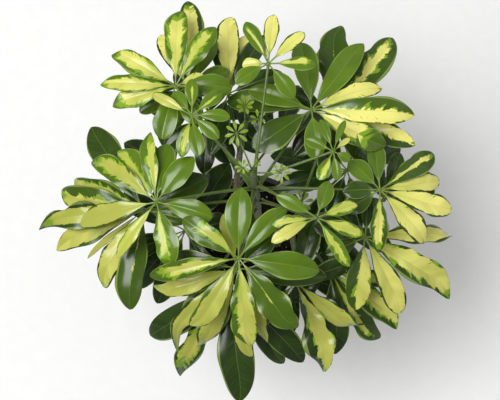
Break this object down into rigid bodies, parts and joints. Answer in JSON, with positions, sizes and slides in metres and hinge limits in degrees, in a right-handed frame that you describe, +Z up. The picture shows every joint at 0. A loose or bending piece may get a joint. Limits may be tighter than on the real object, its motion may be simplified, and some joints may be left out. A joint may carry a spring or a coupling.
{
  "type": "potted umbrella plant",
  "caption": "Bushy dwarf umbrella plant with green and yellow fingered leaves on long stalks, standing in soil in a plain round plastic pot.",
  "frame": {"origin": "middle of the pot's flat underside", "axes": "+Z up, along the pot's axis; +X to the right and -Y towards the viewer, as the picture is taken"},
  "size_m": [0.4331, 0.4198, 0.4483],
  "materials": {
    "pot": "satin dark grey, moulded",
    "soil": "loose, matt, moist",
    "stem": "smooth young bark",
    "tip": "waxy",
    "young_leaf": "glossy, thin",
    "variegated_leaf": "waxy gloss, green patched with yellow",
    "green_leaf": "waxy gloss"
  },
  "bodies": {
    "root": {"pot": "pot", "soil": "soil", "stem_main": "stem", "stem_back": "stem", "stem_front": "stem", "tip_main": "tip", "tip_back": "tip", "tip_front": "tip", "leaf_young_back": "young_leaf", "leaf_young_left": "young_leaf", "leaf_young_right": "young_leaf", "leaf_young_front": "young_leaf", "leaf_upper_back_left": "variegated_leaf", "leaf_upper_back_right": "variegated_leaf", "leaf_upper_right": "variegated_leaf", "leaf_upper_left": "variegated_leaf", "leaf_upper_front": "variegated_leaf", "leaf_middle_back_left": "variegated_leaf", "leaf_middle_back": "variegated_leaf", "leaf_middle_back_right": "variegated_leaf", "leaf_middle_right": "green_leaf", "leaf_middle_front_right": "variegated_leaf", "leaf_middle_front": "variegated_leaf", "leaf_middle_front_left": "variegated_leaf", "leaf_middle_left": "variegated_leaf", "leaf_lower_front_right": "green_leaf", "leaf_lower_front": "green_leaf", "leaf_low_left": "green_leaf", "leaf_low_back_left": "green_leaf", "leaf_low_right": "green_leaf", "leaf_low_front_right": "green_leaf", "leaf_base_front_left": "green_leaf", "leaf_base_left": "green_leaf", "leaf_base_back": "green_leaf", "leaf_base_right": "green_leaf"}
  },
  "joints": []
}
